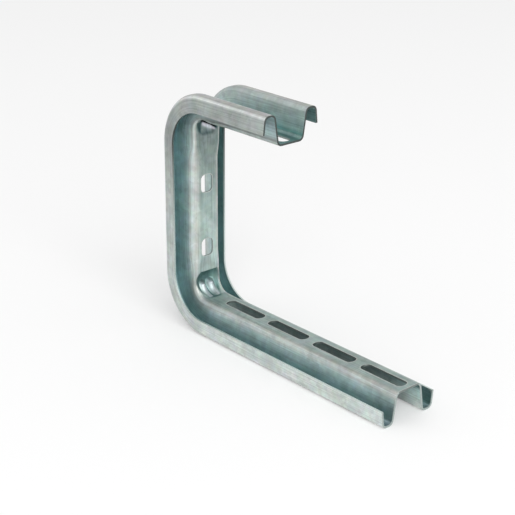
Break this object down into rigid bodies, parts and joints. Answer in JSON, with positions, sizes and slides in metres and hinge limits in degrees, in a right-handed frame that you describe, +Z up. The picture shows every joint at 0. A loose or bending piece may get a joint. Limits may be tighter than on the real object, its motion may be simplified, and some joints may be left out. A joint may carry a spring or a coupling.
{
  "type": "cable tray bracket",
  "caption": "C-shaped wall or ceiling bracket of folded hat-section strip that carries a cable tray on its long slotted arm.",
  "frame": {"origin": "midway between the two fixing holes of the back, on the web face that the screw heads press on", "axes": "+X away from the wall along both arms, +Z up along the back, +Y across the section"},
  "size_m": [0.245, 0.0534, 0.1975],
  "materials": {
    "galvanised_steel": "satin hot-dip galvanised strip"
  },
  "bodies": {
    "root": {"bracket": "galvanised_steel"}
  },
  "joints": []
}
